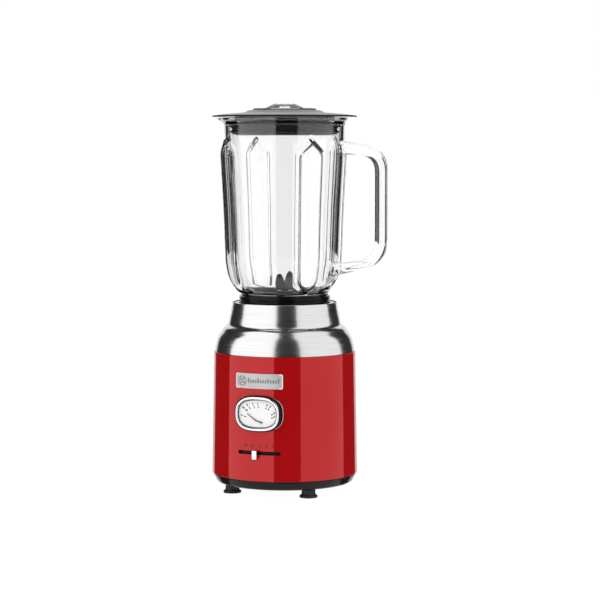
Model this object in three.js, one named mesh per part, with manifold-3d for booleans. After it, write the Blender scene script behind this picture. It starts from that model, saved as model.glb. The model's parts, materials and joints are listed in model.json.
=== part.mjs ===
// Countertop blender: a round motor base with a steel shoulder, a lobed glass jar
// with a handle, a black lid and a clear measuring cap.
// Millimetres, +Z up, the front of the base faces -Y, the jar's handle points to +X.
// Needs the npm packages three and manifold-3d.
import * as THREE from "three";
import { mergeVertices } from "three/addons/utils/BufferGeometryUtils.js";
import Module from "manifold-3d";

const wasm = await Module();
wasm.setup();

// ---------------------------------------------------------------- driving dimensions

const GAP = 0.3; // left between pieces that rest on each other
const RAD = Math.PI / 180;

// outer envelope, measured from the tabletop and the motor's axis
const HANDLE_REACH = 110; // axis to the outside of the handle
const SPOUT_REACH = 75.5; // axis to the tip of the lid's spout tab
const AXIS_X = (SPOUT_REACH - HANDLE_REACH) / 2; // puts the bounding box's centre on x = 0

// motor base
const FOOT_H = 9; // underside of the base plate
const FOOT_RING_R = 59; // circle that the four feet stand on
const HOUSING_Z0 = 18.6;
const HOUSING_Z1 = 144.3;
const HOUSING_R0 = 75.4; // at HOUSING_Z0
const HOUSING_R1 = 73.1; // at HOUSING_Z1
const HOUSING_T = 1.8;
const TRAY_R = 74; // flange of the base plate under the housing
const TRAY_FLOOR_Z = 11.8; // upper side of the base plate
const SHOULDER_T = 1;
const COLLAR_Z = 195; // top edge of the steel shoulder
const GLAND_Z = 30; // the cord's way out at the back

// controls on the front
const BADGE_Z = 120;
const BADGE_W = 49.8;
const BADGE_H = 15.2;
const DIAL_Z = 87.3;
const DIAL_FRONT = 78.8; // distance of the dial's front plane from the axis
const DIAL_A = 23.45; // half width of the dial's bezel
const DIAL_B = 17.1; // half height of the dial's bezel
const WINDOW_A = 20.9;
const WINDOW_B = 14.5;
const NEEDLE_X = 4;
const NEEDLE_Z = DIAL_Z - 8.3;
const NEEDLE_PIN_R = 1;
const SLOT_Z = 47.4;
const SLOT_H = 3.8;
const SLOT_HALF_DEG = 17.8;
const KNOB_DEG = -1.7; // the slider's rest, just right of its 0 mark
const STEM_W = 3.6; // the knob's stem, which passes through the slot
const STEM_H = 2.8;

// power train
const SHAFT_R = 4;
const BORE_R = SHAFT_R + GAP; // holes that take a shaft
const SEAT_Z = 175.7; // ledge that the jar stands on
const DRIVE_TOP = 176.5;
const FRAME_Z = 148; // underside of the motor frame's deck
const STATOR_Z0 = 80;
const STATOR_Z1 = 116;
const STATOR_BORE_R = 24.6;
const PLUNGER_R = 2.2;
const PLUNGER_Y = 41;

// the frame's four screw posts, left and right of the motor
const POSTS = [
  [54, -14.5],
  [-54, -14.5],
  [-54, 14.5],
  [54, 14.5],
];
const SCREW_R = 1.5;
const SCREW_HOLE_R = 1.9;

// jar
const RIM_Z = 384.2;
const NECK_Z = 186; // bottom face of the glass
const NECK_R = 38.6;
const MOUTH_R = 59; // inside of the glass at the rim
const LOBE_H = 6.3;
const LOBE_DEG = [46, 141, 225, 315]; // middle of each lobe, from +X anticlockwise
const LOBE_HALF_DEG = [10, 13.6, 13.6, 13.6];
const LOBE_EDGE = 4.5; // width of the slope at each side of a lobe
const LOBE_Z0 = 205;
const LOBE_Z1 = 363.5;
const HANDLE_W = 16;
const HANDLE_T = 10.8; // thickness of the grip, measured towards the axis

// blades
const BLADE_W = 11;
const BLADE_T = 1.5;
const UPPER_BLADE_Z = 206.2;
const LOWER_BLADE_Z = 204.2;

// lid and cap
const FLANGE_Z = 384.9;
const FLANGE_R = 74.3;
const LID_Z = 392.2;
const SKIRT_R = 51.7;
const SKIRT_T = 2.4;
const SKIRT_Z = 366;
const FEED_R = 24.3; // the lid's feed hole
const BRIM_R = 32.5;
const BRIM_Z = 393.6;
const DOME_R = 17.2;
const CAP_Z = 400;

// ---------------------------------------------------------------- materials

const finish = (color, roughness, metalness = 0, more = {}) =>
  new THREE.MeshStandardMaterial({ color, roughness, metalness, ...more });
const RED_PAINT = finish(0xb4120f, 0.22, 0.1);
const STEEL = finish(0xc9c9c9, 0.25, 1);
const CHROME = finish(0xe6e6e6, 0.08, 1);
const BLACK = finish(0x141414, 0.35);
const RUBBER = finish(0x1c1c1c, 0.8);
const CLEAR = finish(0xf4f8f8, 0.03, 0, { transparent: true, opacity: 0.35 });
const DIAL_WHITE = finish(0xe9e9e6, 0.4, 0.2);
const COPPER = finish(0xa85a2a, 0.4, 0.9);
const IRON = finish(0x54565a, 0.55, 0.8);
const BRASS = finish(0xb08d4a, 0.35, 1);
const ALUMINIUM = finish(0xb8bbbe, 0.4, 1);
const BOARD = finish(0x2f6b3a, 0.6);

// ---------------------------------------------------------------- geometry helpers

// A geometry as a manifold-3d solid.
function solid(geometry) {
  const bare = geometry.index ? geometry.clone() : mergeVertices(geometry);
  bare.deleteAttribute("normal");
  bare.deleteAttribute("uv");
  const merged = mergeVertices(bare, 1e-4);
  return new wasm.Manifold(
    new wasm.Mesh({
      numProp: 3,
      vertProperties: new Float32Array(merged.attributes.position.array),
      triVerts: new Uint32Array(merged.index.array),
    }),
  );
}

// A manifold-3d solid back as a geometry.
function geometryOf(made) {
  const mesh = made.getMesh();
  const geometry = new THREE.BufferGeometry();
  geometry.setAttribute("position", new THREE.BufferAttribute(new Float32Array(mesh.vertProperties), 3));
  geometry.setIndex(new THREE.BufferAttribute(new Uint32Array(mesh.triVerts), 1));
  geometry.computeVertexNormals();
  return geometry;
}

const cut = (base, ...tools) =>
  geometryOf(tools.reduce((made, tool) => made.subtract(solid(tool)), solid(base)));
const join = (base, ...more) =>
  geometryOf(more.reduce((made, piece) => made.add(solid(piece)), solid(base)));
const common = (a, b) => geometryOf(solid(a).intersect(solid(b)));

// A body of revolution about Z. The profile lists [radius, z] counterclockwise, with radius
// to the right; a ring's profile is closed here, and a full body's starts and ends on the axis.
function turned(profile, segments = 24) {
  const points = profile.map(([r, z]) => new THREE.Vector2(r, z));
  if (profile[0][0] > 0) points.push(points[0].clone());
  return new THREE.LatheGeometry(points, segments).rotateX(Math.PI / 2);
}

const ring = (inner, outer, z0, z1, segments) =>
  turned([[inner, z0], [outer, z0], [outer, z1], [inner, z1]], segments);
const disc = (radius, z0, z1, segments) =>
  turned([[0, z0], [radius, z0], [radius, z1], [0, z1]], segments);
const block = (x, y, z, w, d, h) => new THREE.BoxGeometry(w, d, h).translate(x, y, z);

// A flat outline drawn on the XZ plane, seen from the front, and extruded from y0 back to y1.
function slab(shape, y0, y1, curveSegments = 8) {
  return new THREE.ExtrudeGeometry(shape, { depth: y1 - y0, bevelEnabled: false, curveSegments })
    .rotateX(Math.PI / 2)
    .translate(0, y1, 0);
}

// A flat outline on the XY plane, extruded up from z0 to z1.
const prism = (shape, z0, z1, curveSegments = 4) =>
  new THREE.ExtrudeGeometry(shape, { depth: z1 - z0, bevelEnabled: false, curveSegments }).translate(0, 0, z0);

// A polygon given as [x, y] pairs.
const outline = (points) => new THREE.Shape(points.map(([x, y]) => new THREE.Vector2(x, y)));

// The rounded television-screen outline of the dial, a superellipse of half width a and half height b.
function screen(a, b) {
  const power = 2 / 2.7;
  const count = 28;
  const points = [];
  for (let i = 0; i < count; i++) {
    const t = (i / count) * 2 * Math.PI;
    const c = Math.cos(t);
    const s = Math.sin(t);
    points.push([a * Math.sign(c) * Math.abs(c) ** power, DIAL_Z + b * Math.sign(s) * Math.abs(s) ** power]);
  }
  return outline(points);
}

function roundedRectangle(w, h, r, x = 0, y = 0) {
  const shape = new THREE.Shape();
  shape.moveTo(x - w / 2 + r, y - h / 2);
  shape.absarc(x + w / 2 - r, y - h / 2 + r, r, -Math.PI / 2, 0);
  shape.absarc(x + w / 2 - r, y + h / 2 - r, r, 0, Math.PI / 2);
  shape.absarc(x - w / 2 + r, y + h / 2 - r, r, Math.PI / 2, Math.PI);
  shape.absarc(x - w / 2 + r, y - h / 2 + r, r, Math.PI, 1.5 * Math.PI);
  return shape;
}

const smooth = (t) => {
  const c = Math.min(1, Math.max(0, t));
  return c * c * (3 - 2 * c);
};

// Four positions on a circle, at 45 degrees to the axes.
const diagonals = (radius) =>
  [-45, -135, 135, 45].map((deg) => [radius * Math.cos(deg * RAD), radius * Math.sin(deg * RAD)]);

function part(name, geometry, material) {
  const mesh = new THREE.Mesh(geometry, material);
  mesh.name = name;
  return mesh;
}

const group = (...children) => new THREE.Group().add(...children);

// ---------------------------------------------------------------- base: shells

function baseHousing() {
  const shell = turned(
    [
      [HOUSING_R0 - HOUSING_T, HOUSING_Z0],
      [HOUSING_R0, HOUSING_Z0],
      [HOUSING_R1, HOUSING_Z1],
      [HOUSING_R1 - HOUSING_T, HOUSING_Z1],
    ],
    56,
  );
  const slotWidth = 2 * HOUSING_R0 * Math.sin(SLOT_HALF_DEG * RAD);
  const slot = slab(roundedRectangle(slotWidth, SLOT_H, SLOT_H / 2 - 0.1, 0, SLOT_Z), -80, -60, 3);
  const dialHole = slab(screen(DIAL_A + GAP, DIAL_B + GAP), -80, -60);
  const glandHole = disc(GLAND_R + GAP, 60, 80, 16).rotateX(-Math.PI / 2).translate(0, 0, GLAND_Z);
  return cut(shell, slot, dialHole, glandHole);
}

// Outer profile of the brushed steel shoulder, from its lower edge up to the collar.
const SHOULDER = [
  [72.4, HOUSING_Z1 + GAP],
  [71.6, 150],
  [70, 156],
  [67.8, 161.4],
  [64.6, 166.6],
  [60.2, 172.3],
  [58.4, 174.8],
  [57.1, 179.8],
  [55.6, 186.6],
  [54.1, COLLAR_Z],
];

function shoulderCover() {
  const inner = [9, 8, 6, 4, 2].map((i) => [SHOULDER[i][0] - SHOULDER_T, SHOULDER[i][1]]);
  const tongueR = HOUSING_R1 - HOUSING_T - 1.3 * GAP;
  const tongue = [
    [tongueR - SHOULDER_T, HOUSING_Z1 - 5],
    [tongueR, HOUSING_Z1 - 5],
    [tongueR, HOUSING_Z1 + GAP],
  ];
  return turned([...tongue, ...SHOULDER, ...inner, [tongueR - SHOULDER_T, 148.5]], 36);
}

function basePlate() {
  const flangeZ = HOUSING_Z0 - GAP;
  const tongueR = HOUSING_R0 - HOUSING_T - 2 * GAP;
  const tray = turned(
    [
      [0, FOOT_H],
      [68, FOOT_H],
      [70.2, 9.8],
      [TRAY_R, 17.3],
      [TRAY_R, flangeZ],
      [tongueR, flangeZ],
      [tongueR, 22],
      [70.7, 22],
      [70.7, 18],
      [67.6, TRAY_FLOOR_Z],
      [0, TRAY_FLOOR_Z],
    ],
    32,
  );
  const vents = [];
  for (let i = 0; i < 8; i++) vents.push(block(32, 0, 10, 18, 4, 8).rotateZ((i + 0.5) * 45 * RAD));
  const hole = (radius, [x, y]) => disc(radius, 5, 15, 12).translate(x, y, 0);
  const footHoles = diagonals(FOOT_RING_R).map((place) => hole(FOOT_STEM_R + 0.4, place));
  const screwHoles = POSTS.map((place) => hole(SCREW_HOLE_R, place));
  return cut(tray, ...vents, ...footHoles, ...screwHoles);
}

// A rubber foot: a hollow lip on the table, a neck, and a barb pushed through the base plate.
const FOOT_STEM_R = 3.2;

const foot = () =>
  turned(
    [
      [0, 2],
      [6.8, 0],
      [9.3, 0],
      [9.1, 1.9],
      [7, 3.2],
      [7, FOOT_H - GAP],
      [FOOT_STEM_R, FOOT_H - GAP],
      [FOOT_STEM_R, TRAY_FLOOR_Z + GAP],
      [4.4, TRAY_FLOOR_Z + GAP],
      [2.6, 15.5],
      [0, 15.5],
    ],
    14,
  );

const baseScrew = () =>
  turned(
    [
      [0, 6.9],
      [3.4, 6.9],
      [3.4, FOOT_H - GAP],
      [SCREW_R, FOOT_H - GAP],
      [SCREW_R, 25],
      [0, 25],
    ],
    8,
  );

function jarSeat() {
  const lipR = 51.6;
  const lipZ = COLLAR_Z - GAP;
  const bowl = turned(
    [
      [21.5, 169.5],
      [34, 169.5],
      [36, 172.8],
      [49.6, 172.8],
      [49.6, 191.8],
      [lipR, 191.8],
      [lipR, lipZ],
      [46.9, lipZ],
      [46.9, SEAT_Z],
      [33.6, SEAT_Z],
      [31.5, 172.3],
      [21.5, 172.3],
    ],
    24,
  );
  return cut(bowl, disc(PLUNGER_R + 0.5, 165, 180, 12).translate(0, PLUNGER_Y, 0));
}

const interlockPlunger = () => disc(PLUNGER_R, 158, SEAT_Z - GAP, 10).translate(0, PLUNGER_Y, 0);
const interlockSwitch = () => block(0, 38.5, 155, 7, 9, 5.4);

// The bush that the mains lead leaves the housing through.
const GLAND_R = 5.5;

function cordGland() {
  const bore = 3.8;
  const wallR = 75.6; // where its collar meets the housing
  const bush = turned(
    [
      [bore, 67],
      [GLAND_R, 67],
      [GLAND_R, wallR],
      [8, wallR],
      [8, 77.3],
      [6.2, 79.6],
      [bore, 79.6],
    ],
    14,
  );
  return bush.rotateX(-Math.PI / 2).translate(0, 0, GLAND_Z);
}

// ---------------------------------------------------------------- base: controls

function badgePlate() {
  const skin = ring(74.1, 75.5, BADGE_Z - 10, BADGE_Z + 10, 72);
  return common(skin, slab(roundedRectangle(BADGE_W, BADGE_H, 2, 0, BADGE_Z), -80, -50, 4));
}

// The bezel's foot is a thin flange that follows the housing; its wall rises from there to the crown.
function dialBezel() {
  const flange = common(ring(75, 75.9, DIAL_Z - 25, DIAL_Z + 25, 72), slab(screen(25.7, 18.4), -80, -60));
  const wall = slab(screen(DIAL_A, DIAL_B), -DIAL_FRONT, -69);
  return cut(join(wall, flange), slab(screen(WINDOW_A, WINDOW_B), -85, -60));
}

// The pane, the face and the case all fit the window with a gap.
const inWindow = (y0, y1) => slab(screen(WINDOW_A - GAP, WINDOW_B - GAP), y0, y1);
const aboutNeedle = (piece) => piece.rotateX(Math.PI / 2).translate(NEEDLE_X, 0, NEEDLE_Z);
const pivotHole = () => aboutNeedle(disc(NEEDLE_PIN_R + 0.5, -80, 80, 10));

const dialLens = () => inWindow(-78.3, -77.6);
const dialFace = () => cut(inWindow(-75.9, -75.2), pivotHole());
const dialCase = () => cut(inWindow(-74.9, -69.5), slab(screen(19, 12.6), -80, -71), pivotHole());
const needleMovement = () =>
  aboutNeedle(cut(disc(8.5, 60, 68.7, 16), disc(NEEDLE_PIN_R + 0.35, 64, 75, 10)));

// The needle rests on its zero stop, pointing up and to the left, with a bend near its pivot.
function dialNeedle() {
  const blade = slab(
    outline([
      [1.2, -1.4],
      [1.6, 0.4],
      [-5.2, 2.4],
      [-15.1, 8.8],
      [-15.5, 8.2],
      [-6, 1],
    ]),
    -77,
    -76.5,
  );
  const pin = aboutNeedle(disc(NEEDLE_PIN_R, 66, 77.2, 12));
  return join(blade.translate(NEEDLE_X, 0, NEEDLE_Z), pin);
}

function speedKnob() {
  const grip = slab(roundedRectangle(5.3, 9, 1, 0, SLOT_Z - 1.5), -80.6, -75.9, 2);
  const stem = block(0, -70, SLOT_Z, STEM_W, 12.4, STEM_H);
  return join(grip, stem).rotateZ(KNOB_DEG * RAD);
}

// Curved strip that closes the slot from inside and carries the knob.
function speedShutter() {
  const strip = common(ring(69.9, 71.9, SLOT_Z - 4, SLOT_Z + 4, 72), block(0, -60, SLOT_Z, 70, 60, 20));
  const stemHole = block(0, -70, SLOT_Z, STEM_W + 2 * GAP, 12, STEM_H + 2 * GAP);
  return cut(strip, stemHole).rotateZ(KNOB_DEG * RAD);
}

function switchTrack() {
  const arc = common(ring(66.4, 69.4, SLOT_Z - 8, SLOT_Z + 8, 48), block(0, -70, SLOT_Z, 84, 60, 30));
  return cut(arc, block(0, -70, SLOT_Z, 40, 30, STEM_H + 1.4));
}

const speedSwitch = () => block(0, -54, SLOT_Z, 38, 14, 18);
const controlBoard = () => block(-61.2, 0, 62, 1.6, 48, 56);
const suppressionCapacitor = () => block(-54.6, 0, 80, 11, 18, 14);

// ---------------------------------------------------------------- base: motor

function motorFrame() {
  const deck = ring(14, 66, FRAME_Z, FRAME_Z + 4, 28);
  const tower = ring(42.8, 47.5, FRAME_Z + 2, 172.5, 28);
  const bottom = TRAY_FLOOR_Z + GAP;
  const post = [
    [SCREW_HOLE_R, bottom],
    [4, bottom],
    [4.6, FRAME_Z + 1],
    [SCREW_HOLE_R, FRAME_Z + 1],
  ];
  const posts = POSTS.map(([x, y]) => turned(post, 10).translate(x, y, 0));
  return cut(join(deck, tower, ...posts), block(0, 45, 163, 10, 12, 22));
}

function motorStator() {
  const stack = prism(roundedRectangle(76, 66, 10), STATOR_Z0, STATOR_Z1, 3);
  const windows = [];
  for (const x of [-31, 31])
    for (const y of [-22, 22]) windows.push(block(x, y, (STATOR_Z0 + STATOR_Z1) / 2, 8, 8, 50));
  return cut(stack, disc(STATOR_BORE_R, 60, 140, 24), ...windows);
}

// A winding loop round one pole, drawn on the YZ plane.
function fieldCoil(side) {
  const middle = (STATOR_Z0 + STATOR_Z1) / 2;
  const loop = roundedRectangle(51, 54, 6);
  loop.holes.push(new THREE.Path(roundedRectangle(37, 42, 2).getPoints(2)));
  return new THREE.ExtrudeGeometry(loop, { depth: 7, bevelEnabled: false, curveSegments: 2 })
    .translate(0, 0, -3.5)
    .rotateX(Math.PI / 2)
    .rotateZ(Math.PI / 2)
    .translate(side * 31, 0, middle);
}

// A U-shaped bridge across one end of the stator, with the bearing's cup in its middle.
function motorBracket(zBar, zLegs, zHub) {
  const low = Math.min(zBar, zLegs);
  const high = Math.max(zBar, zLegs);
  const bridge = block(0, 0, zBar, 76, 18, 3);
  const legs = [-36.8, 36.8].map((x) => block(x, 0, (low + high) / 2, 2.4, 18, high - low));
  const hub = disc(12.5, zHub - 5, zHub + 5, 16);
  return cut(join(bridge, ...legs, hub), disc(9.4, zHub - 3.6, zHub + 9, 16), disc(6, zHub - 9, zHub + 9, 12));
}

const bearing = (z) => ring(SHAFT_R + 0.15, 9, z - 3.2, z + 3.2, 16);
const brushHolder = (side) => block(side * 22.8, 0, 66.6, 22, 9, 8);
const motorDamper = (side) => {
  const top = FRAME_Z - GAP;
  return turned([[0, 132.8], [6, 132.8], [5, 140], [6, top], [0, top]], 14).translate(side * 26, 0, 0);
};

const motorShaft = () => disc(SHAFT_R, 37, 165.4, 16);
const rotorArmature = () =>
  turned(
    [
      [SHAFT_R + 0.2, 78],
      [15, 78],
      [18.5, 82],
      [STATOR_BORE_R - 1.6, 82.2],
      [STATOR_BORE_R - 1.6, 113.8],
      [18.5, 114],
      [15, 121],
      [SHAFT_R + 0.2, 121],
    ],
    20,
  );
const commutator = () => ring(SHAFT_R + 0.2, 11, 63.5, 76, 18);

function coolingFan() {
  const wheel = ring(SHAFT_R + 0.2, 34, 38, 39.6, 24);
  const hub = ring(SHAFT_R + 0.2, 8, 38, 49, 14);
  const vanes = [];
  for (let i = 0; i < 6; i++) vanes.push(block(20, 0, 43.5, 26, 1.6, 9).rotateZ(i * 60 * RAD));
  return join(wheel, hub, ...vanes);
}

// Six-lobed star, the section of the dog coupling.
function star(radius) {
  const points = [];
  for (let i = 0; i < 12; i++) {
    const r = i % 2 ? radius * 0.8 : radius;
    points.push([r * Math.cos(i * 30 * RAD), r * Math.sin(i * 30 * RAD)]);
  }
  return outline(points);
}

function driveCoupling() {
  const body = turned([[0, 160], [15, 160], [19, 163], [19, DRIVE_TOP], [0, DRIVE_TOP]], 20);
  return cut(body, prism(star(14.2), 167, DRIVE_TOP + 5), disc(BORE_R, 155, 165.8, 16));
}

// ---------------------------------------------------------------- jar

// Outer and inner wall of the glass between the lobes, as [radius, z] from the neck to the rim.
const GLASS_OUTSIDE = [
  [NECK_R, NECK_Z],
  [NECK_R, 203.8],
  [45.2, 204.2],
  [47.9, 211.3],
  [52.6, 219.6],
  [55, 230],
  [56.4, 242.3],
  [58.2, 290],
  [60.8, 338],
  [61.6, 355],
  [62, LOBE_Z1],
  [63, 380],
  [65, 381.6],
  [64.4, RIM_Z],
];
const GLASS_INSIDE = [
  [33, NECK_Z - 1],
  [33, 203],
  [41.5, 206.6],
  [45, 213],
  [49, 221],
  [51.6, 231],
  [54.4, 290],
  [57, 338],
  [57.8, 355],
  [MOUTH_R, 370],
  [MOUTH_R, RIM_Z + 1],
];

// How far a lobe swells out of the wall: flat-crowned lobes that end in points.
function lobe(turn, radius, z) {
  const width = Math.min((LOBE_Z1 - z) * 1.15, (z - LOBE_Z0) * 0.9);
  const heights = LOBE_DEG.map((deg, i) => {
    const across = Math.abs(((turn - deg + 540) % 360) - 180) * RAD * radius;
    const half = Math.min(width, LOBE_HALF_DEG[i] * RAD * radius);
    return LOBE_H * smooth((half + LOBE_EDGE / 2 - across) / LOBE_EDGE) * smooth(half / 4);
  });
  return Math.max(...heights);
}

// How far the pouring lip opposite the handle leans out, just under the lid.
const spout = (turn, z) =>
  9 * smooth(1 - Math.abs(turn - 180) / 19) * smooth((z - 373) / (RIM_Z - 373));

// Degrees from the middle of a lobe at which the wall has its vertical edges.
const WALL_EDGES = [-45, -31, -17, -12.4, -6, 0, 6, 12.4, 17, 31];

// A solid of revolution with its walls pushed out into the lobes and the pouring lip.
function shapedGlass(profile) {
  const count = LOBE_DEG.length * WALL_EDGES.length;
  const glass = turned([[0, profile[0][1]], ...profile, [0, profile.at(-1)[1]]], count);
  const p = glass.attributes.position;
  for (let i = 0; i < p.count; i++) {
    const radius = Math.hypot(p.getX(i), p.getY(i));
    if (radius < 1) continue;
    const step = Math.round((Math.atan2(p.getY(i), p.getX(i)) / (2 * Math.PI)) * count);
    const edge = (step + count) % count;
    const turn = LOBE_DEG[Math.floor(edge / WALL_EDGES.length)] + WALL_EDGES[edge % WALL_EDGES.length];
    const reach = radius + lobe(turn, radius, p.getZ(i)) + spout(turn, p.getZ(i));
    p.setXY(i, reach * Math.cos(turn * RAD), reach * Math.sin(turn * RAD));
  }
  return glass;
}

// Side outline of the handle on the XZ plane, from its upper root round to its lower root.
function handleOutline() {
  const s = new THREE.Shape();
  const grip = HANDLE_REACH - HANDLE_T;
  s.moveTo(56, 362);
  s.quadraticCurveTo(66, 359.9, 74, 359.2);
  s.lineTo(86, 357.4);
  s.quadraticCurveTo(HANDLE_REACH, 354, HANDLE_REACH, 330);
  s.lineTo(HANDLE_REACH, 256);
  s.quadraticCurveTo(HANDLE_REACH, 238, 90, 231.2);
  s.lineTo(68, 225.8);
  s.quadraticCurveTo(60, 223.6, 50, 221.6);
  s.lineTo(50, 236.4);
  s.quadraticCurveTo(60, 236.6, 68, 237.7);
  s.lineTo(84, 241);
  s.quadraticCurveTo(grip, 245.4, grip, 261);
  s.lineTo(grip, 328);
  s.quadraticCurveTo(grip, 344.4, 84, 345.8);
  s.lineTo(74, 346.6);
  s.quadraticCurveTo(66, 346.9, 56, 345.4);
  s.closePath();
  return s;
}

function jarGlass() {
  const bevel = 3;
  const handle = new THREE.ExtrudeGeometry(handleOutline(), {
    depth: HANDLE_W - 2 * bevel,
    bevelSize: bevel,
    bevelOffset: -bevel,
    bevelThickness: bevel,
    bevelSegments: 2,
    curveSegments: 5,
  })
    .rotateX(Math.PI / 2)
    .translate(0, HANDLE_W / 2 - bevel, 0);
  const body = solid(shapedGlass(GLASS_OUTSIDE)).add(solid(handle));
  return geometryOf(body.subtract(solid(shapedGlass(GLASS_INSIDE))));
}

// The black collar that screws onto the glass neck, with a raised ring above the seat.
const jarCollar = () =>
  turned(
    [
      [31, 176],
      [46.2, 176],
      [46.2, 198],
      [47.2, 198.8],
      [47.2, 201.2],
      [45, 202],
      [45, 203.4],
      [NECK_R + 0.4, 203.4],
      [NECK_R + 0.4, 181],
      [31, 181],
    ],
    28,
  );
const jarGasket = () => ring(33.2, 38.5, 184.2, NECK_Z - GAP, 24);
const bladeBase = () =>
  turned(
    [
      [9.3, 184],
      [12.5, 184],
      [12.5, 189],
      [27, 186.4],
      [29, 181.3],
      [38.5, 181.3],
      [38.5, 183.9],
      [32.4, 183.9],
      [32.4, 193.5],
      [26, 196.6],
      [14, 198],
      [9.3, 198],
    ],
    24,
  );
const bladeBushing = () => ring(SHAFT_R + 0.15, 9, 184, 201.6, 16);

const bladeShaft = () => disc(SHAFT_R, 172.5, 212, 16);
const drivenCoupling = () =>
  cut(join(prism(star(13.4), 168, 179), disc(16, 178, 182.6, 20)), disc(BORE_R, 172, 190, 16));

// One arm of a blade: a tapered plate from the hub out, bent in one or two places.
// Each bend is [length, degrees above level].
function bladeArm(bends, tip, z, heading) {
  const side = BLADE_W / 2;
  const plates = [];
  let x = 5;
  let height = 0;
  bends.forEach(([length, deg], i) => {
    const last = i === bends.length - 1;
    const end = last ? tip / 2 : side;
    const shape = outline([
      [-0.6, -side],
      [length * (last ? 0.55 : 1), -side],
      [length, -end],
      [length, end],
      [length * (last ? 0.45 : 1), side],
      [-0.6, side],
    ]);
    plates.push(prism(shape, 0, BLADE_T).rotateY(-deg * RAD).translate(x, 0, height));
    x += length * Math.cos(deg * RAD);
    height += length * Math.sin(deg * RAD);
  });
  return join(plates[0], ...plates.slice(1))
    .translate(0, 0, z)
    .rotateZ(heading * RAD);
}

// Two arms on a hub with the shaft's bore.
function blade(z, ...arms) {
  const hub = ring(BORE_R, 8.6, z, z + BLADE_T, 16);
  return cut(join(hub, ...arms), disc(BORE_R, z - 15, z + 15, 16));
}

function upperBlade() {
  const z = UPPER_BLADE_Z;
  const raised = [[4, 0], [21, 64]];
  return blade(z, bladeArm(raised, 4, z, -88), bladeArm(raised, 4, z, 92));
}

function lowerBlade() {
  const z = LOWER_BLADE_Z;
  const lifted = bladeArm([[4.5, 0], [11, -27], [17.5, 42]], 5, z, 2);
  const level = bladeArm([[4, 0], [11, -14], [11, 2]], 5, z, 182);
  return blade(z, lifted, level);
}

function bladeNut() {
  const z = UPPER_BLADE_Z + BLADE_T + GAP;
  const profile = [
    [0, 0],
    [7.4, 0],
    [7.4, 1.4],
    [5.6, 2.4],
    [5.2, 5],
    [3.4, 7],
    [0, 7.6],
  ];
  const body = turned(profile, 12).translate(0, 0, z);
  return cut(body, disc(BORE_R, z - 5, z + 4.6, 16));
}

// ---------------------------------------------------------------- lid and cap

function lid() {
  const plate = turned(
    [
      [FEED_R, 378],
      [26.4, 378],
      [26.4, LID_Z - 2.2],
      [31.6, LID_Z - 2.2],
      [36, 388.1],
      [SKIRT_R - SKIRT_T, 387.1],
      [SKIRT_R - SKIRT_T, SKIRT_Z],
      [SKIRT_R, SKIRT_Z],
      [SKIRT_R, FLANGE_Z + 0.5],
      [FLANGE_R, FLANGE_Z],
      [FLANGE_R, FLANGE_Z + 1.4],
      [62, 387.9],
      [41, 389.6],
      [37.5, 391.6],
      [33.2, LID_Z],
      [FEED_R, LID_Z],
    ],
    36,
  );
  // the tab over the pouring lip
  const p = plate.attributes.position;
  for (let i = 0; i < p.count; i++) {
    const radius = Math.hypot(p.getX(i), p.getY(i));
    if (radius < FLANGE_R - 1) continue;
    const offset = Math.PI - Math.abs(Math.atan2(p.getY(i), p.getX(i)));
    const scale = 1 + ((SPOUT_REACH - FLANGE_R) * smooth(1 - offset / (22 * RAD))) / radius;
    p.setXY(i, p.getX(i) * scale, p.getY(i) * scale);
  }
  return plate;
}

// A sleeve on the skirt with two lips that wipe the glass.
function lidSeal() {
  const sleeveR = 54.2;
  const lipR = 58.2;
  return turned(
    [
      [SKIRT_R + GAP, 367],
      [sleeveR, 367],
      [lipR - 0.6, 369.6],
      [sleeveR, 371.2],
      [sleeveR, 373.2],
      [lipR, 375.6],
      [sleeveR, 377.2],
      [SKIRT_R + GAP, 377.2],
    ],
    36,
  );
}

// The clear cap's dome is a piece of a sphere on a flat brim, over a cup that hangs in the feed hole.
function measuringCap() {
  const wall = 2;
  const cupR = FEED_R - 0.7;
  const rise = CAP_Z - BRIM_Z;
  const sphere = (DOME_R ** 2 + rise ** 2) / (2 * rise);
  const dome = [];
  for (let i = 0; i <= 3; i++) {
    const r = DOME_R * (1 - i / 3);
    dome.push([r, CAP_Z - sphere + Math.sqrt(sphere ** 2 - r ** 2)]);
  }
  const inside = dome.slice(1).reverse().map(([r, z]) => [r, z - wall]);
  const brim = [
    [BRIM_R, BRIM_Z - 1],
    [BRIM_R, BRIM_Z],
  ];
  const cup = [
    [cupR - wall, BRIM_Z - 2.6],
    [cupR - wall, SKIRT_Z],
    [cupR, SKIRT_Z],
    [cupR, BRIM_Z - 1],
  ];
  return turned([...inside, [DOME_R, BRIM_Z - 1.8], ...cup, ...brim, ...dome], 28);
}

// ---------------------------------------------------------------- assembly

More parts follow.
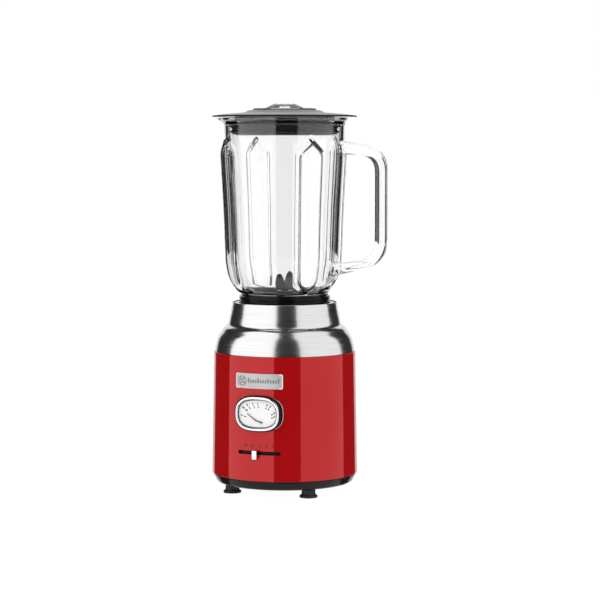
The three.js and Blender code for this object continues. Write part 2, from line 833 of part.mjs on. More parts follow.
const base = group(
  part("base_housing", baseHousing(), RED_PAINT),
  part("shoulder_cover", shoulderCover(), STEEL),
  part("base_plate", basePlate(), BLACK),
  part("jar_seat", jarSeat(), BLACK),
  part("cord_gland", cordGland(), BLACK),
  part("badge_plate", badgePlate(), ALUMINIUM),
  part("dial_bezel", dialBezel(), CHROME),
  part("dial_lens", dialLens(), CLEAR),
  part("dial_face", dialFace(), DIAL_WHITE),
  part("dial_case", dialCase(), BLACK),
  part("needle_movement", needleMovement(), IRON),
  part("switch_track", switchTrack(), BLACK),
  part("speed_switch", speedSwitch(), BLACK),
  part("control_board", controlBoard(), BOARD),
  part("suppression_capacitor", suppressionCapacitor(), DIAL_WHITE),
  part("interlock_plunger", interlockPlunger(), BLACK),
  part("interlock_switch", interlockSwitch(), BLACK),
  part("motor_frame", motorFrame(), BLACK),
  part("motor_stator", motorStator(), IRON),
  part("field_coil_left", fieldCoil(-1), COPPER),
  part("field_coil_right", fieldCoil(1), COPPER),
  part("motor_bracket_upper", motorBracket(130.8, 116.5, 133), ALUMINIUM),
  part("motor_bracket_lower", motorBracket(55, 79.5, 55), ALUMINIUM),
  part("bearing_upper", bearing(133), STEEL),
  part("bearing_lower", bearing(55), STEEL),
  part("brush_holder_left", brushHolder(-1), BRASS),
  part("brush_holder_right", brushHolder(1), BRASS),
  part("motor_damper_left", motorDamper(-1), RUBBER),
  part("motor_damper_right", motorDamper(1), RUBBER),
);

const corners = ["front_right", "front_left", "rear_left", "rear_right"];
corners.forEach((corner, i) => {
  const [x, y] = diagonals(FOOT_RING_R)[i];
  const standing = part("foot_" + corner, foot(), RUBBER);
  standing.position.set(x, y, 0);
  const screw = part("base_screw_" + corner, baseScrew(), STEEL);
  screw.position.set(POSTS[i][0], POSTS[i][1], 0);
  base.add(standing, screw);
});

const rotor = group(
  part("motor_shaft", motorShaft(), STEEL),
  part("rotor_armature", rotorArmature(), COPPER),
  part("commutator", commutator(), COPPER),
  part("cooling_fan", coolingFan(), BLACK),
  part("drive_coupling", driveCoupling(), RUBBER),
);

const speedSlider = group(
  part("speed_knob", speedKnob(), CHROME),
  part("speed_shutter", speedShutter(), BLACK),
);

const needle = group(part("dial_needle", dialNeedle(), BLACK));

const jar = group(
  part("jar_glass", jarGlass(), CLEAR),
  part("jar_collar", jarCollar(), BLACK),
  part("jar_gasket", jarGasket(), RUBBER),
  part("blade_base", bladeBase(), BLACK),
  part("blade_bushing", bladeBushing(), BRASS),
);

const blades = group(
  part("blade_shaft", bladeShaft(), STEEL),
  part("upper_blade", upperBlade(), STEEL),
  part("lower_blade", lowerBlade(), STEEL),
  part("blade_nut", bladeNut(), STEEL),
  part("driven_coupling", drivenCoupling(), BLACK),
);

const cover = group(part("lid", lid(), BLACK), part("lid_seal", lidSeal(), RUBBER));
const cap = group(part("measuring_cap", measuringCap(), CLEAR));

const blender = group(base, rotor, speedSlider, needle, jar, blades, cover, cap);
blender.position.x = AXIS_X;

export default group(blender);
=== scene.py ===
import json
import math
from math import cos, pi, radians, sin

import bmesh
import bpy
from mathutils import Matrix, Vector


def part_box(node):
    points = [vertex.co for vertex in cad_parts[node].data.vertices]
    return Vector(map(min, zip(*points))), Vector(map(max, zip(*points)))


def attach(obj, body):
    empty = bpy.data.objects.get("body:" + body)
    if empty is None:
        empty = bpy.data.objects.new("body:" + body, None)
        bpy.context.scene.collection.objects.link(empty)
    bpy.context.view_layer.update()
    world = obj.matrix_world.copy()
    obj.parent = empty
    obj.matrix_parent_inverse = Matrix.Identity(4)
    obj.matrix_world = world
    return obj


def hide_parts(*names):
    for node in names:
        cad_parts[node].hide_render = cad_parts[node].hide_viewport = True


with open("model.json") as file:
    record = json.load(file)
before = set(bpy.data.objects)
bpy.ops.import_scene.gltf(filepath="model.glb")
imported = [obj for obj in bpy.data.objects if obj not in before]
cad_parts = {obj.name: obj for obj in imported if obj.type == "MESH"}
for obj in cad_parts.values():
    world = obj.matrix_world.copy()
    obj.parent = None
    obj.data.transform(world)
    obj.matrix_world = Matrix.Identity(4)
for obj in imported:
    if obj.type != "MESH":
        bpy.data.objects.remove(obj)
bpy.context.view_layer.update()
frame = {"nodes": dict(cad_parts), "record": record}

# Looks of the countertop blender. Lengths are in millimetres from the motor's axis at the
# tabletop until mesh_object() turns them into metres in the frame of the CAD.
MM = 0.001
scene = bpy.context.scene
shaft_low, shaft_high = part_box("motor_shaft")
AXIS = Vector(((shaft_low.x + shaft_high.x) / 2, (shaft_low.y + shaft_high.y) / 2, 0))


def extent(node):
    """Lowest and highest corner of a CAD node, in millimetres from the motor's axis."""
    low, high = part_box(node)
    return (low - AXIS) / MM, (high - AXIS) / MM


def middle(node):
    """The middle of a CAD node's box, in the same way."""
    low, high = extent(node)
    return (low + high) / 2


# ---------- camera

CAMERA_AZIMUTH = radians(21)  # to the right of straight ahead
CAMERA_DISTANCE = 2135
CAMERA_HEIGHT = 360
AIM_HEIGHT = 196.5
AIM_RIGHT = 15.8  # how far right of the axis the view's middle lies
LENS = 124.3
toward_camera = Vector((sin(CAMERA_AZIMUTH), -cos(CAMERA_AZIMUTH), 0))
camera_right = Vector((cos(CAMERA_AZIMUTH), sin(CAMERA_AZIMUTH), 0))


def make_camera():
    data = bpy.data.cameras.new("camera")
    data.lens = LENS
    camera = bpy.data.objects.new("camera", data)
    scene.collection.objects.link(camera)
    camera.location = AXIS + (toward_camera * CAMERA_DISTANCE + Vector((0, 0, CAMERA_HEIGHT))) * MM
    target = AXIS + (camera_right * AIM_RIGHT + Vector((0, 0, AIM_HEIGHT))) * MM
    camera.rotation_euler = (target - camera.location).to_track_quat("-Z", "Y").to_euler()
    scene.camera = camera


# ---------- materials

NOISE_LOW, NOISE_HIGH = 0.3, 0.7  # nearly all that a texture returns lies between


def look(name, color, roughness, metallic=0.0, **sockets):
    """A Principled material; its extra sockets are set by name, with _ for a space."""
    material = bpy.data.materials.new(name)
    material.use_nodes = True
    shader = material.node_tree.nodes["Principled BSDF"]
    shader.inputs["Base Color"].default_value = (*color, 1)
    shader.inputs["Roughness"].default_value = roughness
    shader.inputs["Metallic"].default_value = metallic
    for socket, value in sockets.items():
        shader.inputs[socket.replace("_", " ")].default_value = value
    return material


def tree(material):
    return material.node_tree.nodes, material.node_tree.links


def noise(material, size, stretch=(1, 1, 1), detail=3):
    """A noise texture whose grains are about size millimetres, in the object's own space."""
    nodes, links = tree(material)
    place = nodes.new("ShaderNodeTexCoord")
    mapping = nodes.new("ShaderNodeMapping")
    mapping.inputs["Scale"].default_value = stretch
    texture = nodes.new("ShaderNodeTexNoise")
    texture.inputs["Scale"].default_value = 1 / (size * MM)
    texture.inputs["Detail"].default_value = detail
    links.new(place.outputs["Object"], mapping.inputs["Vector"])
    links.new(mapping.outputs["Vector"], texture.inputs["Vector"])
    return texture


def spread(material, texture, low, high, socket):
    """Drives a number socket of the shader from low to high with the texture."""
    nodes, links = tree(material)
    remap = nodes.new("ShaderNodeMapRange")
    remap.inputs["From Min"].default_value = NOISE_LOW
    remap.inputs["From Max"].default_value = NOISE_HIGH
    remap.inputs["To Min"].default_value = low
    remap.inputs["To Max"].default_value = high
    links.new(texture.outputs[0], remap.inputs["Value"])
    links.new(remap.outputs["Result"], nodes["Principled BSDF"].inputs[socket])


def tint(material, texture, first, second):
    """Mixes two base colours with the texture."""
    nodes, links = tree(material)
    ramp = nodes.new("ShaderNodeValToRGB")
    ramp.color_ramp.elements[0].position = NOISE_LOW
    ramp.color_ramp.elements[0].color = (*first, 1)
    ramp.color_ramp.elements[1].position = NOISE_HIGH
    ramp.color_ramp.elements[1].color = (*second, 1)
    links.new(texture.outputs[0], ramp.inputs["Fac"])
    links.new(ramp.outputs["Color"], nodes["Principled BSDF"].inputs["Base Color"])


def bumps(material, texture, height):
    """Raises the surface by up to height millimetres with the texture."""
    nodes, links = tree(material)
    bump = nodes.new("ShaderNodeBump")
    bump.inputs["Distance"].default_value = height * MM
    links.new(texture.outputs[0], bump.inputs["Height"])
    links.new(bump.outputs["Normal"], nodes["Principled BSDF"].inputs["Normal"])


def red_enamel():
    """Glossy enamel with a faint metallic depth."""
    material = look("red enamel", (0.45, 0.004, 0.006), 0.2, 0.22, Specular_IOR_Level=0.4)
    tint(material, noise(material, 60), (0.44, 0.0035, 0.005), (0.47, 0.005, 0.007))
    grain = noise(material, 0.9)
    spread(material, grain, 0.05, 0.08, "Roughness")
    bumps(material, grain, 0.001)
    return material


def brushed_steel(name="brushed steel", shade=0.66, rough=0.15):
    material = look(name, (shade, shade, shade), rough, 1, Anisotropic=0.35)
    lines = noise(material, 2, stretch=(0.05, 0.05, 4), detail=5)
    tint(material, lines, (shade * 0.9,) * 3, (shade * 1.06,) * 3)
    spread(material, lines, rough - 0.04, rough + 0.06, "Roughness")
    bumps(material, lines, 0.002)
    return material


def plastic(name, shade, rough, grain_size=0.5, height=0.006, **sockets):
    material = look(name, (shade, shade, shade * 1.03), rough, **sockets)
    grain = noise(material, grain_size)
    tint(material, noise(material, 25), (shade * 0.9,) * 3, (shade * 1.15,) * 3)
    spread(material, grain, rough - 0.04, rough + 0.05, "Roughness")
    bumps(material, grain, height)
    return material


def soft_rubber():
    material = look("soft rubber", (0.016, 0.016, 0.017), 0.6, Specular_IOR_Level=0.35)
    grain = noise(material, 0.35)
    tint(material, noise(material, 6), (0.012, 0.012, 0.013), (0.022, 0.022, 0.023))
    spread(material, grain, 0.5, 0.72, "Roughness")
    bumps(material, grain, 0.015)
    return material


def metal(name, color, rough, grain_size=1.5, height=0.004):
    material = look(name, color, rough, 1)
    grain = noise(material, grain_size)
    tint(material, grain, [c * 0.94 for c in color], [min(1, c * 1.05) for c in color])
    spread(material, grain, rough * 0.8, rough * 1.25, "Roughness")
    bumps(material, grain, height)
    return material


def clear(name, color, ior, waviness):
    material = look(name, color, 0.0, IOR=ior, Transmission_Weight=1.0)
    swell = noise(material, 22, stretch=(1, 1, 0.5), detail=1)
    tint(material, swell, [c * 0.995 for c in color], color)
    bumps(material, swell, waviness)
    return material


def silver_face():
    material = look("silver face", (0.94, 0.94, 0.93), 0.5)
    lines = noise(material, 0.8, stretch=(0.08, 1, 2), detail=4)
    tint(material, lines, (0.9, 0.9, 0.89), (0.96, 0.96, 0.95))
    spread(material, lines, 0.45, 0.55, "Roughness")
    return material


def banded(name, dark, bright, pitch, direction, rough, metallic):
    """Stacked sheets or wound wire: even bands of the given pitch in millimetres."""
    material = look(name, bright, rough, metallic)
    nodes, links = tree(material)
    place = nodes.new("ShaderNodeTexCoord")
    bands = nodes.new("ShaderNodeTexWave")
    bands.bands_direction = direction
    bands.inputs["Scale"].default_value = 0.3 / (pitch * MM)
    bands.inputs["Distortion"].default_value = 0.2
    links.new(place.outputs["Object"], bands.inputs["Vector"])
    tint(material, bands, dark, bright)
    bumps(material, bands, 0.1)
    return material


# ---------- mesh helpers


def mesh_object(name, verts, faces, material, crease=32):
    """An object from points in millimetres, smooth but for edges sharper than crease degrees."""
    mesh = bpy.data.meshes.new(name)
    mesh.from_pydata([AXIS + Vector(v) * MM for v in verts], [], faces)
    tidy = bmesh.new()
    tidy.from_mesh(mesh)
    bmesh.ops.recalc_face_normals(tidy, faces=tidy.faces)
    tidy.to_mesh(mesh)
    tidy.free()
    mesh.materials.append(material)
    soften(mesh, crease)
    thing = bpy.data.objects.new(name, mesh)
    scene.collection.objects.link(thing)
    return thing


def soften(mesh, crease):
    mesh.polygons.foreach_set("use_smooth", [True] * len(mesh.polygons))
    mesh.set_sharp_from_angle(angle=radians(crease))


def declare(thing, body, slot, *nodes):
    """Ties a piece to its CAD body and hides the nodes that it stands for. The slot is not used."""
    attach(thing, body)
    if nodes:
        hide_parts(*nodes)
    return thing


def combine(thing, tools, operation, crease=32):
    """Joins closed tool objects to a piece or cuts them out of it, and removes the tools."""
    for tool in tools:
        modifier = thing.modifiers.new(operation, "BOOLEAN")
        modifier.operation = operation
        modifier.solver = "MANIFOLD"
        modifier.object = tool
    bpy.context.view_layer.update()
    result = bpy.data.meshes.new_from_object(thing.evaluated_get(bpy.context.evaluated_depsgraph_get()))
    thing.modifiers.clear()
    thing.data = result
    soften(result, crease)
    for tool in tools:
        bpy.data.objects.remove(tool)
    return thing


def rounded(outline, steps=5):
    """The outline's points. A corner with a third number is rounded to that radius."""
    points = []
    for i, corner in enumerate(outline):
        point = Vector(corner[:2])
        if len(corner) < 3:
            points.append(point)
            continue
        before = Vector(outline[i - 1][:2]) - point
        after = Vector(outline[(i + 1) % len(outline)][:2]) - point
        reach = corner[2] / math.tan(before.angle(after) / 2)
        reach = min(reach, 0.49 * before.length, 0.49 * after.length)
        start = point + before.normalized() * reach
        points += bezier(start, point, point + after.normalized() * reach, steps)
    return points


def spline(points, steps=6):
    """A smooth curve through the points."""
    given = [Vector(p) for p in points]
    ends = [given[0] * 2 - given[1], *given, given[-1] * 2 - given[-2]]
    curve = []
    for p0, p1, p2, p3 in zip(ends, ends[1:], ends[2:], ends[3:]):
        for k in range(steps):
            t = k / steps
            bend = (p0 * 2 - p1 * 5 + p2 * 4 - p3) * t * t + (p1 * 3 - p0 - p2 * 3 + p3) * t ** 3
            curve.append((p1 * 2 + (p2 - p0) * t + bend) / 2)
    curve.append(given[-1])
    return curve


def full_turn(count):
    """Even angles round a full turn."""
    return [2 * pi * k / count for k in range(count)]


def revolve(profile, segments):
    """Points and faces of a body of revolution about Z. A profile of [radius, z] that starts on
    the axis is a full body; any other profile closes on itself."""
    on_axis = profile[0][0] == 0
    verts, rows, faces = [], [], []
    for r, z in profile:
        if r == 0:
            rows.append([len(verts)] * segments)
            verts.append((0, 0, z))
            continue
        rows.append(range(len(verts), len(verts) + segments))
        verts += [(r * cos(turn), r * sin(turn), z) for turn in full_turn(segments)]
    pairs = zip(rows, rows[1:] if on_axis else [*rows[1:], rows[0]])
    for lower, upper in pairs:
        for k in range(segments):
            n = (k + 1) % segments
            corners = [lower[k], lower[n], upper[n], upper[k]]
            faces.append([v for i, v in enumerate(corners) if v not in corners[:i]])
    return verts, faces


def bridge(rows, count, closed=False):
    """Quads between rows of count points. A closed one joins the last row to the first."""
    faces = []
    for row in range(rows if closed else rows - 1):
        below, above = row * count, (row + 1) % rows * count
        for i in range(count):
            n = (i + 1) % count
            faces.append([below + i, below + n, above + n, above + i])
    return faces


def turned(name, profile, material, segments=192):
    """A body of revolution from a profile whose corners may have radii."""
    return mesh_object(name, *revolve(rounded(profile), segments), material)


def quarter_round(steps):
    """How far down and in the rows of a rounded edge lie, for radius 1."""
    angles = [pi / 2 * k / steps for k in range(steps + 1)]
    return [(1 - sin(angle), 1 - cos(angle)) for angle in angles]


def plate(outline, low, high, bevel=0.0, steps=3):
    """Points (u, v, height) and faces of a flat outline from low up to high, its rims rounded."""
    count = len(outline)
    inward = []
    for i, point in enumerate(outline):
        before = (point - outline[i - 1]).normalized()
        after = (outline[(i + 1) % count] - point).normalized()
        turn = (before + after).normalized()
        inward.append(Vector((-turn.y, turn.x)) / max(0.4, turn.dot(after)))
    rim = quarter_round(steps) if bevel else [(0, 0)]
    levels = [(low + bevel * down, bevel * inset) for down, inset in reversed(rim)]
    levels += [(high - bevel * down, bevel * inset) for down, inset in rim]
    verts = []
    for height, inset in levels:
        verts += [(*(point + inward[i] * inset), height) for i, point in enumerate(outline)]
    caps = [list(range(count)), list(range(len(verts) - count, len(verts)))]
    return verts, caps + bridge(len(levels), count)


def box_outline(w, h, r, u=0.0, v=0.0, steps=5):
    """A rounded rectangle about (u, v)."""
    corners = [(-w / 2, -h / 2, r), (w / 2, -h / 2, r), (w / 2, h / 2, r), (-w / 2, h / 2, r)]
    return [p + Vector((u, v)) for p in rounded(corners, steps)]


DIAL_POWER = 2.7  # of the superellipse that the dial's outlines follow


def screen_outline(a, b, count=96):
    """A superellipse of half width a and half height b round the dial's middle."""
    power = 2 / DIAL_POWER
    points = []
    for turn in full_turn(count):
        c, s = cos(turn), sin(turn)
        x, y = math.copysign(abs(c) ** power, c), math.copysign(abs(s) ** power, s)
        points.append(Vector((a * x, DIAL_V + b * y)))
    return points


def to_front(verts, depth=0.0):
    """Plate points (u, v, height) onto the front: u to +X, v up, height towards -Y."""
    return [(u, -depth - h, v) for u, v, h in verts]


def wrapped(verts, radius):
    """Plate points (u, v, height) round the motor's axis: u along the arc, height outwards."""
    return [((radius + h) * sin(u / radius), -(radius + h) * cos(u / radius), v) for u, v, h in verts]


def joined(*shapes):
    """Several (verts, faces) shapes as one."""
    verts, faces = [], []
    for some_verts, some_faces in shapes:
        faces += [[i + len(verts) for i in face] for face in some_faces]
        verts += some_verts
    return verts, faces


def letters(text, size, u, v, height):
    """Plate points and faces of a line of text centred on (u, v)."""
    data = bpy.data.curves.new("letters", "FONT")
    data.body = text
    data.size = size
    data.align_x = "CENTER"
    data.align_y = "CENTER"
    data.extrude = height / 2
    data.offset = 0.03 * size
    holder = bpy.data.objects.new("letters", data)
    mesh = bpy.data.meshes.new_from_object(holder)
    verts = [(p.co.x + u, p.co.y + v, p.co.z + height / 2) for p in mesh.vertices]
    faces = [list(polygon.vertices) for polygon in mesh.polygons]
    bpy.data.objects.remove(holder)
    return verts, faces


def smooth(t):
    """A smooth step from 0 to 1."""
    t = min(1, max(0, t))
    return t * t * (3 - 2 * t)


# ---------- base

CUT_FROM, CUT_TO = 60, 85  # the front is cut open between these distances from the axis


def housing(material):
    """The tapering red shell, with the openings for the dial and the slider."""
    low, high = extent("base_housing")
    bottom, top = low.z, high.z
    outer, narrow, wall = high.y, 73.1, 1.8
    outline = [
        (outer - wall, bottom), (outer, bottom, 0.7), (narrow, top, 0.9), (narrow - wall, top),
    ]
    shell = turned("housing", outline, material, 256)
    slot_half_turn, slot_height, clearance = 17.8, 3.8, 0.2
    slot_width = 2 * outer * sin(radians(slot_half_turn))
    slot_outline = box_outline(slot_width, slot_height, 1.85, 0, middle("speed_shutter").z)
    slot_tool = plate(slot_outline, CUT_FROM, CUT_TO)
    dial_outline = screen_outline(DIAL_A + clearance, DIAL_B + clearance)
    dial_tool = plate(dial_outline, CUT_FROM, CUT_TO)
    tools = [mesh_object("tool", to_front(v), f, material) for v, f in (slot_tool, dial_tool)]
    combine(shell, tools, "DIFFERENCE")
    return declare(shell, "base", "red_paint", "base_housing")


def shoulder(material):
    """The spun sheet from the housing up to the jar seat; its tongue slides into the housing."""
    low, high = extent("shoulder_cover")
    top = high.z
    tongue_outer, tongue_top, sheet = 70.9, 144.5, 0.9
    dome = spline([
        (72.4, 144.7), (72, 147.4), (71.2, 151.6), (70, 156), (67.9, 161.2), (64.7, 166),
        (63, 168.4), (61.5, 169.8), (59.5, 171.4), (58.5, 172.9), (57.9, 175.4), (57.1, 179.8),
        (56.1, 184), (55.2, 188.6), (54.3, top - 0.7),
    ])
    rim = [Vector((54.1, top - 0.15)), Vector((53.8, top)), Vector((53.5, top - 0.3))]
    inner = [p - Vector((sheet, 0)) for p in reversed(dome)]
    tongue = [(tongue_outer - sheet, low.z), (tongue_outer, low.z), (tongue_outer, tongue_top)]
    verts, faces = revolve([*dome, *rim, *inner, *tongue], 256)
    cover = mesh_object("shoulder", verts, faces, material, 40)
    return declare(cover, "base", "brushed_steel", "shoulder_cover")


def base_tray(material):
    """The black tray under the housing, with a ring of air slots in its floor."""
    low, high = extent("base_plate")
    flange, tongue, inside, floor = 18.2, 72.9, 70.7, 11.8
    outline = [
        (0, low.z), (68.6, low.z, 2), (70.6, 10.4, 2), (high.x, 17.2, 0.5), (high.x, flange, 0.2),
        (tongue, flange), (tongue, high.z), (inside, high.z), (inside, 18), (67.6, floor),
        (0, floor),
    ]
    tray = turned("base_tray", outline, material, 224)
    slots, slot_length, slot_width, slot_radius = 8, 18, 4, 32
    verts, faces = plate(box_outline(slot_length, slot_width, 1.9, slot_radius, 0), 5, 15)
    tools = []
    for k in range(slots):
        turn = Matrix.Rotation(2 * pi * (k + 0.5) / slots, 3, "Z")
        tools.append(mesh_object("tool", [turn @ Vector(p) for p in verts], faces, material))
    combine(tray, tools, "DIFFERENCE")
    return declare(tray, "base", "black_plastic", "base_plate")


def suction_foot(node, material):
    """A rubber foot, hollow under its lip."""
    centre, top = middle(node), extent(node)[1].z
    lip, neck, stem = 9.2, 7, 3.2
    outline = [
        (0, 2.4), (5.6, 1.2, 3), (6.9, 0), (lip, 0, 0.3), (lip, 1.9, 0.8), (neck + 0.6, 2.9, 0.6),
        (neck, 4.4, 0.8), (neck, 8.7, 0.4), (stem, 8.7), (stem, 12.1), (4.4, 12.1),
        (2.6, top, 0.5), (0, top),
    ]
    verts, faces = revolve(rounded(outline), 64)
    moved = [(x + centre.x, y + centre.y, z) for x, y, z in verts]
    foot = mesh_object(node.replace("foot", "suction_foot"), moved, faces, material)
    return declare(foot, "base", "rubber", node)


def screw(node, material):
    """A pan-head screw, its cross recess cut from below."""
    low, high = extent(node)
    centre = middle(node)
    seat, head, shank = 8.7, 3.4, 1.5
    recess_length, recess_width, recess_depth = 3.4, 0.8, 1
    outline = [
        (0, low.z), (2.6, low.z, 1), (head, low.z + 1.1, 0.3), (head, seat), (shank, seat),
        (shank, high.z), (0, high.z),
    ]
    verts, faces = revolve(rounded(outline), 40)
    moved = [(x + centre.x, y + centre.y, z) for x, y, z in verts]
    piece = mesh_object(node.replace("base_screw", "screw"), moved, faces, material)
    tools = []
    for w, h in ((recess_length, recess_width), (recess_width, recess_length)):
        outline = box_outline(w, h, 0.1, centre.x, centre.y)
        verts, faces = plate(outline, low.z - recess_depth, low.z + recess_depth)
        tools.append(mesh_object("tool", verts, faces, material))
    combine(piece, tools, "DIFFERENCE")
    return declare(piece, "base", "screw_steel", node)


def jar_seat(material):
    """The black cup that the jar's collar stands in, open in the middle for the coupling."""
    low, high = extent("jar_seat")
    hole, ledge, under, floor = 21.5, 49.6, 172.8, 175.7
    outline = [
        (hole, low.z), (34, low.z), (36, under), (ledge, under), (ledge, 191.8), (51.6, 191.8),
        (51.6, high.z - 0.2, 0.6), (47.2, high.z - 0.2, 0.8), (46.9, floor, 0.8),
        (33.6, floor, 0.6), (31.5, 172.3), (hole, 172.3, 0.4),
    ]
    seat = turned("seat", outline, material)
    return declare(seat, "base", "black_plastic", "jar_seat")


def cord_gland(material):
    """The bush in the back of the housing, turned about the Y axis."""
    low, high = extent("cord_gland")
    bore, neck, collar, wall = 3.8, 5.5, 8, 75.6
    outline = [
        (bore, low.y), (neck, low.y), (neck, wall), (collar, wall), (collar, wall + 1.8, 0.8),
        (6.2, high.y, 0.8), (bore, high.y, 0.5),
    ]
    verts, faces = revolve(rounded(outline), 72)
    bush = mesh_object("gland", [(x, z, middle("cord_gland").z + y) for x, y, z in verts], faces, material)
    return declare(bush, "base", "black_plastic", "cord_gland")


# ---------- controls

DIAL_V = middle("dial_bezel").z
DIAL_FRONT = -extent("dial_bezel")[0].y
DIAL_A = 23.4  # half width of the bezel
DIAL_B = 17.1  # and its half height
CROWN_WIDTH = 2.6
HOUSING_AT_DIAL = 73.8  # radius of the housing at the dial's height
SCALE_A = 19  # half width of the line that the scale's ticks reach to
SCALE_B = 11.6
SCALE_TICKS = range(24, 172, 5)  # degrees round the pivot from +X
SCALE_MARKS = {163: 1.1, 144: 1.6, 132: 1.1, 117: 0.9, 102: 0.9, 71: 1.1, 60: 1.1, 36: 1.3, 24: 1.3}


def badge(face, rim_look, print_look):
    """A plate wrapped round the housing, with a raised rim, an emblem and plain strokes."""
    low, high = extent("badge_plate")
    v = middle("badge_plate").z
    w, h = high.x - low.x, high.z - low.z
    radius, skin, foot, rim_top, relief_top, rim_width = 74.15, 0.75, 0.7, 1.3, 0.97, 1.2
    arc = 2 * radius * math.asin(w / 2 / radius)
    border = box_outline(arc, h, 2, 0, v)
    verts, faces = subdivided(plate(border, 0, skin), arc)
    shell = mesh_object("badge", wrapped(verts, radius), faces, face)
    declare(shell, "base", "silver_badge", "badge_plate")
    inner = box_outline(arc - 2 * rim_width, h - 2 * rim_width, 1.2, 0, v)
    verts, faces = frame_ring(border, inner, foot, rim_top, 0.3)
    rim = mesh_object("badge_rim", wrapped(verts, radius), faces, rim_look)
    declare(rim, "base", "silver_badge")
    emblem_u, emblem_outer, emblem_inner = 7.6 - arc / 2, 4.9, 4.1
    marks = leaves(emblem_u, v, foot, relief_top) + strokes(v, foot, relief_top)
    circles = [
        [Vector((emblem_u + r * cos(turn), v + r * sin(turn))) for turn in full_turn(40)]
        for r in (emblem_outer, emblem_inner)
    ]
    shapes = [subdivided(mark, arc) for mark in marks]
    verts, faces = joined(*shapes, frame_ring(*circles, foot, relief_top, 0.1))
    relief = mesh_object("badge_relief", wrapped(verts, radius), faces, print_look)
    declare(relief, "base", "silver_badge")


def leaves(u, v, low, high):
    """Four leaves round (u, v)."""
    leaf = [(0, 0.6), (1.2, 0.9), (3.1, 2.6), (1.1, 2.9), (0.3, 1.8)]
    shapes = []
    for k in range(4):
        turn = Matrix.Rotation(radians(90 * k), 2)
        shapes.append(plate([turn @ Vector(p) + Vector((u, v)) for p in leaf], low, high))
    return shapes


def strokes(v, low, high):
    """A row of upright strokes, every fourth one tall, where a name would be."""
    count, first, pitch, width, tall, short = 13, -10.2, 2.6, 1.5, 4.8, 3.2
    shapes = []
    for k in range(count):
        height = tall if k % 4 == 0 else short
        outline = box_outline(width, height, 0.5, pitch * k + first, v + (height - 3.6) / 2)
        shapes.append(plate(outline, low, high))
    return shapes


def subdivided(shape, arc):
    """Cuts a plate's caps across u, so that it can be wrapped."""
    verts, faces = shape
    mesh = bmesh.new()
    points = [mesh.verts.new(p) for p in verts]
    for face in faces:
        mesh.faces.new([points[i] for i in face])
    steps = 36
    for k in range(1, steps):
        u = arc * (k / steps - 0.5) * 1.02
        bmesh.ops.bisect_plane(
            mesh, geom=mesh.verts[:] + mesh.edges[:] + mesh.faces[:], plane_co=(u, 0, 0), plane_no=(1, 0, 0)
        )
    mesh.verts.index_update()
    cut_verts = [tuple(p.co) for p in mesh.verts]
    cut_faces = [[p.index for p in face.verts] for face in mesh.faces]
    mesh.free()
    return cut_verts, cut_faces


def frame_ring(outer, inner, low, high, bevel, steps=3):
    """A closed rim between two outlines of equal count, its top edges rounded."""
    count = len(outer)
    section = [(0, low)]
    section += [(bevel * inset, high - bevel * down) for down, inset in quarter_round(steps)]
    across = (outer[0] - inner[0]).length
    section += [(across - a, h) for a, h in reversed(section)]
    verts = []
    for a, h in section:
        t = a / across
        verts += [(*(outer[i].lerp(inner[i], t)), h) for i in range(count)]
    return verts, bridge(len(section), count, closed=True)


def dial_bezel(chrome, black):
    """A chrome crown on a black wall, with a thin chrome flange at the housing. The black wall is painted
    shade for the dark side of the bezel and the groove under its crown.
    """
    seam, back, bead = 1.3, 9.6, -1.25
    crown_section = [
        (0, seam), (0, 0.7, 0.5), (0.8, 0, 0.8), (CROWN_WIDTH - 0.7, 0.1, 0.8),
        (CROWN_WIDTH, seam, 0.3),
    ]
    bezel = mesh_object("bezel", *swept(crown_section), chrome, 50)
    declare(bezel, "base", "chrome", "dial_bezel")
    # the black wall under the crown is painted shade: it darkens the bezel's side and the groove under the
    # crown
    wall_section = [
        (0.3, back), (0.3, 4.2), (bead, 3.9), (bead, 3.1), (0.3, seam), (CROWN_WIDTH, seam),
        (CROWN_WIDTH, back),
    ]
    band = mesh_object("bezel_wall_painted_shade", *swept(wall_section), black, 50)
    declare(band, "base", "black_plastic")
    outer = screen_outline(25.6, DIAL_B + 0.8)
    inner = screen_outline(DIAL_A + 0.4, DIAL_B - 0.8)
    verts, faces = frame_ring(outer, inner, 0, 1.5, 0.35)
    flange = mesh_object("bezel_flange", wrapped(verts, HOUSING_AT_DIAL), faces, chrome, 50)
    declare(flange, "base", "chrome")


def swept(section):
    """A closed section of (inset, depth) swept round the bezel's outline."""
    rows = rounded(section)
    verts = []
    for inset, depth in rows:
        outline = screen_outline(DIAL_A - inset, DIAL_B - inset)
        verts += [(p.x, depth - DIAL_FRONT, p.y) for p in outline]
    return verts, bridge(len(rows), len(outline), closed=True)


def dial_face(face_look, print_look, rim_look):
    """The pale face with its dark edge, which is painted shadow of the gap under the bezel, fine ticks and
    thicker marks.
    """
    low, high = extent("dial_face")
    a, b = (high.x - low.x) / 2, (high.z - low.z) / 2
    verts, faces = plate(screen_outline(a, b), 0, high.y - low.y, 0.1)
    panel = mesh_object("dial_panel", to_front(verts, -high.y), faces, face_look)
    declare(panel, "base", "dial_white", "dial_face")
    # a black ring round the face's rim: painted shadow of the gap between bezel and face
    outer, inner = screen_outline(a, b), screen_outline(a - 1, b - 1)
    verts, faces = frame_ring(outer, inner, 0, 0.5, 0.1)
    edge = mesh_object("dial_painted_shadow_edge", to_front(verts, -low.y), faces, rim_look)
    declare(edge, "base", "needle_black")
    pivot = middle("needle_movement").xz
    marks = [tick(pivot, degrees, 0.955, 1.0, 0.25) for degrees in SCALE_TICKS]
    for degrees, width in SCALE_MARKS.items():
        marks.append(tick(pivot, degrees, 0.7, 0.8, width))
        marks.append(tick(pivot, degrees, 0.85, 0.96, width))
    verts, faces = joined(*marks)
    scale = mesh_object("dial_scale", to_front(verts, -low.y), faces, print_look)
    declare(scale, "base", "needle_black")


